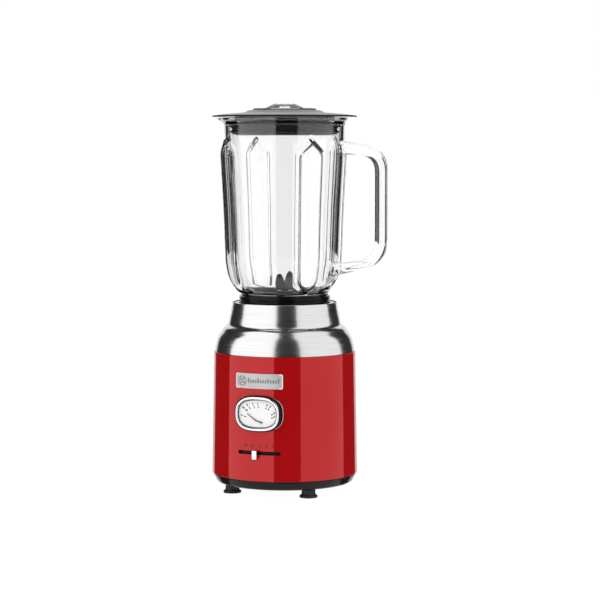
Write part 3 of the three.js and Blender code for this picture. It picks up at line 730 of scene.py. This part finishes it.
def tick(pivot, degrees, inner, outer, width):
    """A stroke along a ray from the needle's pivot, between two fractions of the way to the rim."""
    along = Vector((cos(radians(degrees)), sin(radians(degrees))))
    across = Vector((-along.y, along.x)) * width / 2
    reach = 0.0
    while inside_rim(pivot + along * reach):
        reach += 0.1
    near, far = pivot + along * reach * inner, pivot + along * reach * outer
    return plate([near - across, far - across, far + across, near + across], 0, 0.06)


def inside_rim(point):
    """True inside the line that the scale's outer ends lie on."""
    x, y = abs(point.x) / SCALE_A, abs(point.y - DIAL_V) / SCALE_B
    return x ** DIAL_POWER + y ** DIAL_POWER < 1


def dial_lens(material):
    """The clear cover. It lets the light onto the face, so it casts no shadow."""
    low, high = extent("dial_lens")
    a, b = (high.x - low.x) / 2, (high.z - low.z) / 2
    verts, faces = plate(screen_outline(a, b), 0, high.y - low.y, 0.25, 3)
    glass = mesh_object("lens", to_front(verts, -high.y), faces, material)
    glass.visible_diffuse = False
    glass.visible_shadow = False
    return declare(glass, "base", "dial_lens", "dial_lens")


def dial_needle(material):
    """A crooked pointer on its pin."""
    pivot = middle("needle_movement")
    corners = [(1.3, -1.3), (1.5, 0.3), (-5.3, 2.2), (-15.1, 8.75), (-15.45, 8.25), (-6.1, 1.2)]
    outline = [pivot.xz + point for point in rounded([(*corner, 0.35) for corner in corners], 3)]
    pointer = plate(outline, 0, 0.5, 0.12, 2)
    pin, pin_faces = revolve(rounded([(0, 66), (1, 66), (1, 77.1, 0.2), (0, 77.1)]), 32)
    pin = [(pivot.x + x, -z, pivot.z + y) for x, y, z in pin]
    verts, faces = joined((to_front(pointer[0], 76.5), pointer[1]), (pin, pin_faces))
    hand = mesh_object("needle_hand", verts, faces, material)
    return declare(hand, "needle", "needle_black", "dial_needle")


KNOB_DEGREES = -1.7  # round the axis from straight ahead, as in the CAD
SPEED_MARKS = {"P": -10.7, "0": -5.1, "1": 1.2, "2": 6.7, "3": 11.6}  # and where the marks are


def speed_knob(material):
    """A rounded grip in front of the slot, on a stem that goes through it."""
    low, high = extent("speed_knob")
    v = middle("speed_knob").z
    grip_width, grip_back, stem_width, stem_height, stem_back = 5.2, 75.9, 3.6, 2.8, 63.9
    grip = plate(box_outline(grip_width, high.z - low.z, 0.9, 0, v), grip_back, -low.y - 0.1, 0.7)
    stem = plate(box_outline(stem_width, stem_height, 0.4, 0, v + 1.5), stem_back, grip_back + 0.1)
    verts, faces = joined(grip, stem)
    turn = Matrix.Rotation(radians(KNOB_DEGREES), 3, "Z")
    knob = mesh_object("knob", [turn @ Vector(p) for p in to_front(verts)], faces, material)
    return declare(knob, "speed_slider", "chrome", "speed_knob")


def speed_marks(material):
    """The generic settings printed over the slot."""
    radius, size, height = 74.85, 3.9, 54.2
    marks = []
    for text, degrees in SPEED_MARKS.items():
        marks.append(letters(text, size, radius * radians(degrees), height, 0.08))
    verts, faces = joined(*marks)
    scale = mesh_object("speed_marks", wrapped(verts, radius - 0.02), faces, material)
    return declare(scale, "base", "red_paint")


# ---------- jar

LOBES = {46: 9, 140.5: 12.5, 225: 12.7, 316.5: 14.2}  # heading from +X: half width, in degrees
LOBE_HEIGHT = 6.2  # on the outer face
INNER_HEIGHT = 5.2  # on the inner face
INNER_INSET = 2.7  # how far its sides lie inside the outer ones
LOBE_SLOPE = 3.2  # width of the slope at a lobe's side
LOBE_BOTTOM = 205.5
LOBE_TOP = 363
RIM_HEIGHT = extent("jar_glass")[1].z
SPOUT_FOOT = 373
SPOUT_REACH = 9
SPOUT_HALF_TURN = radians(19)


def lobe(angle, radius, z, height, inset):
    """How far a lobe swells out of the wall: an upright panel with a pointed top and bottom."""
    swell = 0
    for heading, half in LOBES.items():
        offset = abs((math.degrees(angle) - heading + 540) % 360 - 180)
        across = radians(offset) * radius
        side = radians(half) * radius - across
        top = (LOBE_TOP - z - across) * 0.7
        bottom = (z - LOBE_BOTTOM - across * 0.75) * 0.8
        inside = soft_minimum(soft_minimum(side, top, 2.5), bottom, 5) - inset
        swell = max(swell, height * smooth((inside + LOBE_SLOPE / 2) / LOBE_SLOPE))
    return swell


def soft_minimum(a, b, radius):
    """The lesser of two lengths, blended where they are close."""
    blend = max(0, radius - abs(a - b)) / radius
    return min(a, b) - blend * blend * radius / 4


def spout(angle, z):
    """How far the pouring lip leans out under the lid."""
    side = smooth(1 - (pi - abs(angle)) / SPOUT_HALF_TURN)
    return SPOUT_REACH * side * smooth((z - SPOUT_FOOT) / (RIM_HEIGHT - SPOUT_FOOT))


def wall_rows(points, pitch):
    """A wall profile resampled to even steps."""
    curve = spline(points, 12)
    rows = [curve[0]]
    for point in curve:
        if (point - rows[-1]).length >= pitch:
            rows.append(point)
    rows[-1] = curve[-1]
    return rows


def jar_body(material, segments, pitch):
    """The thick glass wall, its lobes pressed through both faces."""
    neck, lip = 38.6, 64.8
    foot = extent("jar_glass")[0].z
    outside = [
        (45.8, 204.6), (47.2, 208.2), (49.2, 213.6), (51.8, 218.6), (54, 225), (55.5, 233),
        (56.4, 243), (58.2, 290), (60.8, 338), (61.6, 355), (62, 366), (62.3, 378),
    ]
    inside = [
        (58.5, 378), (58.1, 366), (57.6, 355), (57, 338), (54.3, 290), (52.4, 243), (51, 231),
        (48.6, 221), (45.4, 213), (42.6, 208.2), (39.6, 205.9), (35.2, 204.9),
    ]
    outside, inside = wall_rows(outside, pitch), wall_rows(inside, pitch)
    bottom = rounded([
        (33.2, 204, 1), (33, foot, 0.5), (neck, foot, 0.6), (neck, 203.8, 0.6), (44.8, 203.9, 0.9),
    ])
    rim = rounded([
        (63, 380.6, 1), (lip, 381.8, 0.8), (lip, RIM_HEIGHT, 1.4), (59.1, RIM_HEIGHT, 1.4),
        (58.9, 380.6, 1.5),
    ])
    verts, faces = revolve([*bottom, *outside, *rim, *inside], segments)
    first_inner = (len(bottom) + len(outside) + len(rim)) * segments
    shaped = []
    for i, (x, y, z) in enumerate(verts):
        radius = math.hypot(x, y)
        angle = math.atan2(y, x)
        height, inset = (INNER_HEIGHT, INNER_INSET) if i >= first_inner else (LOBE_HEIGHT, 0)
        reach = radius + lobe(angle, radius, z, height, inset) + spout(angle, z)
        shaped.append((reach * cos(angle), reach * sin(angle), z))
    return mesh_object("jar", shaped, faces, material, 60)


def handle_body(material, reach):
    """The handle as a rounded bar along its outline, which widens where it meets the wall."""
    grip = reach - 10.8
    bend = 9
    half, rounding, wall, flare_length = 8, 4.6, 66, 10
    curves = [
        [(59.6, 361.4), (66, 359.9), (74, 359.2)],
        [(86, 357.4), (reach, 354), (reach, 330)],
        [(reach, 256), (reach, 238), (90, 231.2)],
        [(68, 225.8), (60, 223.6), (53.2, 222.2)],
        [(53.6, 236.4), (60, 236.6), (68, 237.7)],
        [(84, 241), (grip, 245.4), (grip, 261)],
        [(grip, 328), (grip, 344.4), (84, 345.8)],
        [(74, 346.6), (66, 346.9), (59.4, 346)],
    ]
    outline = [point for curve in curves for point in bezier(*curve, bend)]
    outline.reverse()
    verts, faces = plate(outline, -half, half, rounding, 7)
    flared = []
    for u, v, h in verts:
        flare = 1 + 0.25 * smooth((wall - u) / flare_length)
        flared.append((u, -h * flare, v))
    return mesh_object("handle", flared, faces, material, 60)


def bezier(start, corner, end, steps):
    """A quadratic curve."""
    a, b, c = Vector(start), Vector(corner), Vector(end)
    points = []
    for k in range(steps + 1):
        t = k / steps
        points.append(a * (1 - t) ** 2 + b * 2 * t * (1 - t) + c * t * t)
    return points


def jar_glass(material):
    segments, pitch = ((480, 1.5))
    jar = jar_body(material, segments, pitch)
    handle = handle_body(material, extent("jar_glass")[1].x)
    combine(jar, [handle], "UNION", 60)
    return declare(jar, "jar", "jar_glass", "jar_glass")


def jar_collar(material):
    """The screwed collar under the glass, with a fine groove round its rim."""
    low, high = extent("jar_collar")
    bore, body, ring, neck, ledge = 31, 46.2, 47.1, 39, 181
    outline = [
        (bore, low.z), (body, low.z, 0.8), (body, 197.6, 0.5), (ring, 198.6, 0.4),
        (ring, 199.5, 0.2), (ring - 0.5, 199.8, 0.1), (ring - 0.5, 200.2, 0.1), (ring, 200.5, 0.2),
        (ring, 201.2, 0.5), (45, 201.9, 0.3), (45, high.z, 0.5), (neck, high.z), (neck, ledge),
        (bore, ledge),
    ]
    collar = turned("collar", outline, material)
    return declare(collar, "jar", "black_plastic", "jar_collar")


def blade_base(material):
    """The black floor of the jar, which carries the bushing in its boss."""
    low, high = extent("blade_base")
    bore, boss, wide, narrow, under = 9.3, 12.5, 38.5, 32.4, 183.9
    outline = [
        (bore, low.z + 2.7), (boss, low.z + 2.7), (boss, 189), (27, 186.4), (29, low.z),
        (wide, low.z), (wide, under), (narrow, under), (narrow, 193.4, 1.5), (26, 196.3, 3),
        (15, high.z, 2), (bore, high.z, 0.4),
    ]
    dome = turned("blade_mount", outline, material)
    return declare(dome, "jar", "inner_plastic", "blade_base")


def blade_bushing(material):
    low, high = extent("blade_bushing")
    bore, outer = 4.15, 9
    outline = [(bore, low.z), (outer, low.z), (outer, high.z, 0.6), (bore, high.z, 0.4)]
    bush = turned("bushing", outline, material, 96)
    return declare(bush, "jar", "brass", "blade_bushing")


# ---------- blades

BLADE_WIDTH = 11.4
BLADE_THICKNESS = 1.4
BLADE_BORE = 4.3
HUB_RADIUS = 8.6


def blade_arm(bends, tip, z, heading):
    """A tapered, ground arm from the hub out. Each bend is (length, degrees above level)."""
    length = sum(run for run, degrees in bends)
    steps = 28
    rows = []
    for k in range(steps + 1):
        s = length * k / steps
        x, height, slope = 4.8, 0.0, 0.0
        left = s
        for run, degrees in bends:
            used = min(left, run)
            slope = radians(degrees)
            x += used * cos(slope)
            height += used * sin(slope)
            left -= used
            if left <= 0:
                break
        taper = max(0, (s / length - 0.4) / 0.6)
        half = (BLADE_WIDTH + (tip - BLADE_WIDTH) * taper ** 2.4) / 2
        if k == steps:
            half *= 0.55
        up, across = Vector((-sin(slope), cos(slope))), Vector((x, height))
        for side, rise in blade_section(half):
            point = across + up * rise
            rows.append((point.x, side, point.y))
    count = len(blade_section(1))
    caps = [list(range(count)), list(range(len(rows) - count, len(rows)))]
    turn = Matrix.Rotation(radians(heading), 3, "Z")
    return [tuple(turn @ Vector((x, y, h + z))) for x, y, h in rows], caps + bridge(steps + 1, count)


def blade_section(half):
    """An arm's section: a ground edge on the left and a blunt back on the right."""
    t = BLADE_THICKNESS
    return [(-half, 0.12), (1.6 - half, t), (half - 0.4, t), (half, t / 2), (half - 0.4, 0), (-half, 0)]


def blade(name, node, arms, material):
    """A hub with its arms. The lower blade lies under the nut and the upper one."""
    z = extent("upper_blade")[0].z if node == "upper_blade" else extent("blade_nut")[0].z - 3.8
    top = z + BLADE_THICKNESS
    outline = [(BLADE_BORE, z), (HUB_RADIUS, z, 0.2), (HUB_RADIUS, top, 0.2), (BLADE_BORE, top)]
    hub = revolve(rounded(outline), 64)
    shapes = [blade_arm(bends, tip, z, heading) for bends, tip, heading in arms]
    verts, faces = joined(hub, *shapes)
    piece = mesh_object(name, verts, faces, material, 25)
    return declare(piece, "blades", "blade_steel", node)


def blade_nut(material):
    """A domed nut on its washer. Its profile closes just short of the axis, at the tip."""
    low, high = extent("blade_nut")
    z = low.z
    washer, thread, tip = 7.4, 4.8, 0.01
    outline = [
        (BLADE_BORE, z), (washer, z, 0.3), (washer, z + 1.4, 0.3), (5.7, z + 2.2, 0.4),
        (5.3, z + 5, 0.8), (3.4, z + 7, 0.8), (tip, high.z), (tip, z + thread),
        (BLADE_BORE, z + thread),
    ]
    nut = turned("nut", outline, material, 96)
    return declare(nut, "blades", "blade_steel", "blade_nut")


# ---------- lid and cap

TAB_HALF_TURN = radians(22)


def lid(skirt_look, painted_sheen_look, flange_look):
    """The lid: a skirt in the jar, a wide flange with a tab over the lip, and a raised middle."""
    low, high = extent("lid")
    flange, edge, skirt, well, bore, under = 74.2, 71.5, 51.6, 26.4, 24.3, 384.9
    bottom, top = low.z, high.z
    tab = -low.x
    outline = [
        (bore, 378), (well, 378), (well, top - 2.2), (31.6, top - 2.2), (36, 388.1),
        (skirt - 2.3, 387.1), (skirt - 2.3, bottom), (skirt - 1.2, bottom, 0.4),
        (skirt - 0.7, bottom + 1, 0.3), (skirt, bottom + 1.5, 0.4), (skirt, bottom + 4, 0.2),
        (skirt - 0.35, bottom + 4.4, 0.1), (skirt, bottom + 4.8, 0.2), (skirt, under + 0.5, 0.6),
        (flange, under, 0.6), (flange, under + 1.4, 0.6), (edge, under + 1.75), (62, 387.9, 6),
        (41, 389.6, 1.5), (37.5, 391.6, 1.5), (33.2, top, 0.6), (bore, top, 0.4),
    ]
    verts, faces = revolve(rounded(outline), 256)
    shaped = []
    for x, y, z in verts:
        radius = math.hypot(x, y)
        lean = smooth(1 - (pi - abs(math.atan2(y, x))) / TAB_HALF_TURN)
        scale = 1 + (tab - flange - 0.1) * lean / radius if radius > flange - 1.5 else 1
        shaped.append((x * scale, y * scale, z))
    cover = mesh_object("lid_cover", shaped, faces, skirt_look)
    cover.data.materials.append(painted_sheen_look)
    cover.data.materials.append(flange_look)
    # Upward faces above the flange take a lighter grey, painted sheen for the grazing reflection on the lid's
    # top; faces beyond the edge take the flange's look.
    for polygon in cover.data.polygons:
        above = polygon.normal.z > 0.1 and polygon.center.z > under * MM
        beyond = (polygon.center - AXIS).xy.length > edge * MM
        polygon.material_index = 2 if beyond else int(above)
    return declare(cover, "lid", "black_plastic", "lid")


def lid_seal(material):
    """The rubber sleeve on the skirt, with two lips."""
    low, high = extent("lid_seal")
    inner, sleeve, tip = 51.95, 54.1, 58
    outline = [
        (inner, low.z), (53.6, low.z, 0.5), (sleeve, 368.4, 0.6), (tip - 0.6, 369.2, 0.3),
        (tip - 0.6, 369.9, 0.3), (sleeve, 371, 0.6), (sleeve, 373.4, 0.6), (tip, 375.1, 0.3),
        (tip, 375.8, 0.3), (sleeve, 376.6, 0.6), (53.6, high.z, 0.3), (inner, high.z),
    ]
    seal = turned("seal", outline, material)
    return declare(seal, "lid", "rubber", "lid_seal")


def measuring_cap(material, seal_shadow_look):
    """A clear cup with a lens-like dome; a black ring under the brim seals it against the lid and is painted
    shadow of the dark gap between them.
    """
    low, high = extent("measuring_cap")
    brim, dome, cup, wall, edge, flange = 393.6, 20.6, 23.6, 2, 32.4, 0.7
    steps = 24
    rise = high.z - brim
    sphere = (dome ** 2 + rise ** 2) / (2 * rise)
    over = []
    for k in range(steps + 1):
        r = dome * (1 - k / steps)
        over.append(Vector((r, high.z - sphere + math.sqrt(sphere ** 2 - r ** 2))))
    over[-1].x = 0
    inner = cup - wall
    outline = [
        (0, brim - 2.2), (inner - 1, brim - 2.2, 1), (inner, brim - 4, 0.8), (inner, low.z, 0.8),
        (cup, low.z, 0.8), (cup, brim - flange, 0.3), (edge, brim - flange, 0.2), (edge, brim, 0.2),
        (dome, brim),
    ]
    verts, faces = revolve([*rounded(outline), *over[1:]], 160)
    cup_shell = mesh_object("cap_cup", verts, faces, material, 40)
    declare(cup_shell, "cap", "clear_cap", "measuring_cap")
    # the black ring under the brim is partly a seal and partly painted shadow of the gap between brim and lid
    ring_low, ring_high, ring_inner = 392.3, brim - 0.75, edge - 2
    outline = [(ring_inner, ring_low), (edge, ring_low, 0.1), (edge, ring_high, 0.1), (ring_inner, ring_high)]
    ring = turned("cap_seal_painted_shadow_ring", outline, seal_shadow_look)
    declare(ring, "cap", "rubber")


# ---------- studio

CARD_RADIUS = 2600
CARD_TOP = 70  # degrees above level
CARD_BOTTOM = -35
GAP_LEFT, GAP_RIGHT = -17, 25  # degrees from the camera's direction, right positive
SOFTBOX_LEFT, SOFTBOX_RIGHT = -99, 106
FLAG_LEFT, FLAG_RIGHT = -149, 148
FLAG_REACH = 163
GAP_SPLIT = -4  # below its split a dark card shows in gloss only, so the jar is clear from above
FLAG_SPLIT = 0


def studio_card(name, start, end, strength, bottom=CARD_BOTTOM, top=CARD_TOP):
    """A piece of a dome between two angles from the camera's direction, right positive."""
    rows = 13
    steps = max(2, round(abs(end - start) / 4))
    verts, faces = [], []
    for k in range(steps + 1):
        angle = radians(start + (end - start) * k / steps)
        direction = toward_camera * cos(angle) + camera_right * sin(angle)
        for i in range(rows):
            rise = radians(bottom + (top - bottom) * i / (rows - 1))
            verts.append((direction * cos(rise) + Vector((0, 0, sin(rise)))) * CARD_RADIUS)
    for k in range(steps):
        for i in range(rows - 1):
            a = k * rows + i
            faces.append([a, a + rows, a + rows + 1, a + 1])
    return lit_card(name, verts, faces, strength)


def dark_card(name, start, end, strength, split):
    """A dark card in two parts. The part under the split shows in gloss only."""
    studio_card(name, start, end, strength, bottom=split)
    studio_card(f"{name}_low", start, end, strength, top=split).visible_transmission = False


def ceiling_card(strength):
    """The dark ceiling over the softboxes."""
    rise = radians(CARD_TOP)
    reach, height = CARD_RADIUS * cos(rise), CARD_RADIUS * sin(rise)
    verts = [(reach * cos(turn), reach * sin(turn), height) for turn in full_turn(64)]
    lit_card("ceiling", verts, [list(range(len(verts)))], strength)


def lit_card(name, verts, faces, strength):
    """A glowing card that shows in gloss and through glass only."""
    material = bpy.data.materials.new(name)
    material.use_nodes = True
    nodes, links = tree(material)
    nodes.clear()
    output = nodes.new("ShaderNodeOutputMaterial")
    emission = nodes.new("ShaderNodeEmission")
    emission.inputs["Strength"].default_value = strength
    links.new(emission.outputs[0], output.inputs["Surface"])
    card = mesh_object(name, verts, faces, material)
    card.visible_camera = False
    card.visible_diffuse = False
    card.visible_shadow = False
    return card


def studio():
    """Two softboxes with a dark gap between them, dark flags behind and a pale floor."""
    world = bpy.data.worlds.new("studio")
    scene.world = world
    world.use_nodes = True
    background = world.node_tree.nodes["Background"]
    background.inputs["Color"].default_value = (1, 1, 1, 1)
    background.inputs["Strength"].default_value = 1.0
    scene.view_settings.view_transform = "Standard"
    dark_card("front_gap", GAP_LEFT, GAP_RIGHT, 0.04, GAP_SPLIT)
    studio_card("left_softbox", SOFTBOX_LEFT, GAP_LEFT, 1.5)
    studio_card("right_softbox", GAP_RIGHT, SOFTBOX_RIGHT, 1.2)
    dark_card("left_flag", FLAG_LEFT, SOFTBOX_LEFT, 0.03, FLAG_SPLIT)
    dark_card("right_flag", SOFTBOX_RIGHT, FLAG_RIGHT, 0.03, FLAG_SPLIT)
    ceiling_card(0.03)
    glass_flag("left_glass_flag", -FLAG_REACH, FLAG_LEFT, 0.02)
    glass_flag("right_glass_flag", FLAG_RIGHT, FLAG_REACH, 0.02)
    studio_floor()


def glass_flag(name, start, end, strength):
    """A dark card that shows through glass only."""
    studio_card(name, start, end, strength, bottom=FLAG_SPLIT).visible_glossy = False


def studio_floor():
    """The pale floor, which gloss and glass don't show."""
    floor_material = look("studio floor", (0.06, 0.06, 0.06), 0.9)
    shader = floor_material.node_tree.nodes["Principled BSDF"]
    shader.inputs["Emission Color"].default_value = (1, 1, 1, 1)
    shader.inputs["Emission Strength"].default_value = 0.98
    shader.inputs["Specular IOR Level"].default_value = 0.0
    half = 20000
    corners = [(-half, -half, 0), (half, -half, 0), (half, half, 0), (-half, half, 0)]
    floor = mesh_object("floor", corners, [[0, 1, 2, 3]], floor_material)
    floor.visible_glossy = False
    floor.visible_transmission = False


# ---------- assembly

make_camera()
studio()

RED = red_enamel()
STEEL = brushed_steel()
BLACK = plastic("black plastic", 0.012, 0.1, 0.8, 0.001)
LID_BLACK = plastic("polished black plastic", 0.01, 0.12, 0.8, 0.0006, IOR=2.0)
# the lid's top: black plastic lightened to grey, painted sheen for its grazing reflection
LID_TOP_PAINTED_SHEEN = plastic("black plastic with painted sheen", 0.17, 0.35, 0.8, 0.002, IOR=1.8)
COLLAR_BLACK = plastic("collar plastic", 0.006, 0.14, 0.8, 0.001, Specular_IOR_Level=0.2)
MATT_BLACK = plastic("matt black plastic", 0.006, 0.55, Specular_IOR_Level=0.2)
RUBBER = soft_rubber()
CHROME = metal("chrome", (0.86, 0.86, 0.87), 0.07, 4, 0.001)
SATIN = metal("satin silver", (0.5, 0.5, 0.53), 0.5, 0.6)
BADGE_FACE = plastic("badge silver", 0.5, 0.45, 0.6, 0.003, Metallic=0.35)
BADGE_RIM = plastic("badge rim", 0.82, 0.4, 0.6, 0.001)
BADGE_MARKS = plastic("badge print", 0.2, 0.5, 0.6, 0.001)
GLASS = clear("jar glass", (0.975, 0.98, 0.978), 1.5, 0.01)
CLEAR_PLASTIC = clear("clear plastic", (0.97, 0.975, 0.975), 1.46, 0.004)
FACE = silver_face()
PRINT = plastic("black print", 0.012, 0.5, 0.3, 0.001)
BLADE_STEEL = metal("blade steel", (0.04, 0.04, 0.042), 0.3, 0.5)
SCREW_STEEL = metal("screw steel", (0.6, 0.6, 0.61), 0.25, 0.5)
BRASS = metal("brass", (0.72, 0.54, 0.26), 0.28, 0.8)

housing(RED)
shoulder(STEEL)
base_tray(COLLAR_BLACK)
for corner in ("front_right", "front_left", "rear_left", "rear_right"):
    suction_foot("foot_" + corner, RUBBER)
    screw("base_screw_" + corner, SCREW_STEEL)
jar_seat(BLACK)
cord_gland(MATT_BLACK)
badge(BADGE_FACE, BADGE_RIM, BADGE_MARKS)
dial_bezel(CHROME, MATT_BLACK)
dial_face(FACE, PRINT, PRINT)
dial_lens(CLEAR_PLASTIC)
dial_needle(PRINT)
speed_knob(CHROME)
speed_marks(PRINT)
jar_glass(GLASS)
jar_collar(COLLAR_BLACK)
blade_base(MATT_BLACK)
blade_bushing(SCREW_STEEL)
raised = [(4, 0), (21, 64)]
lifted = [(4.5, 0), (11, -27), (17.5, 42)]
level = [(4, 0), (11, -14), (11, 2)]
blade("upper_wings", "upper_blade", [(raised, 4, -88), (raised, 4, 92)], BLADE_STEEL)
blade("lower_wings", "lower_blade", [(lifted, 5, 2), (level, 5, 182)], BLADE_STEEL)
blade_nut(BLADE_STEEL)
lid(LID_BLACK, LID_TOP_PAINTED_SHEEN, MATT_BLACK)
lid_seal(RUBBER)
measuring_cap(CLEAR_PLASTIC, RUBBER)

# CAD nodes that stay take a finish by their material slot
SLOT_LOOKS = {
    "inner_plastic": MATT_BLACK,
    "rubber": RUBBER,
    "movement_metal": SATIN,
    "circuit_board": plastic("circuit board", 0.1, 0.45, 1.2),
    "capacitor": plastic("capacitor", 0.5, 0.4, 1.0),
    "stator_iron": banded("laminations", (0.08, 0.08, 0.09), (0.2, 0.2, 0.21), 0.5, "Z", 0.45, 0.8),
    "copper": banded("windings", (0.3, 0.1, 0.03), (0.65, 0.3, 0.12), 0.6, "Y", 0.35, 0.8),
    "bracket_aluminium": metal("cast aluminium", (0.66, 0.67, 0.69), 0.42, 0.7, 0.02),
    "bearing_steel": metal("ground steel", (0.7, 0.7, 0.71), 0.15),
    "brass": BRASS,
    "blade_steel": BLADE_STEEL,
}
slot_of = {part["node"]: part["material_slot"] for part in frame["record"]["subparts"]}
for node, thing in frame["nodes"].items():
    if slot_of[node] in SLOT_LOOKS:
        thing.data.materials.clear()
        thing.data.materials.append(SLOT_LOOKS[slot_of[node]])
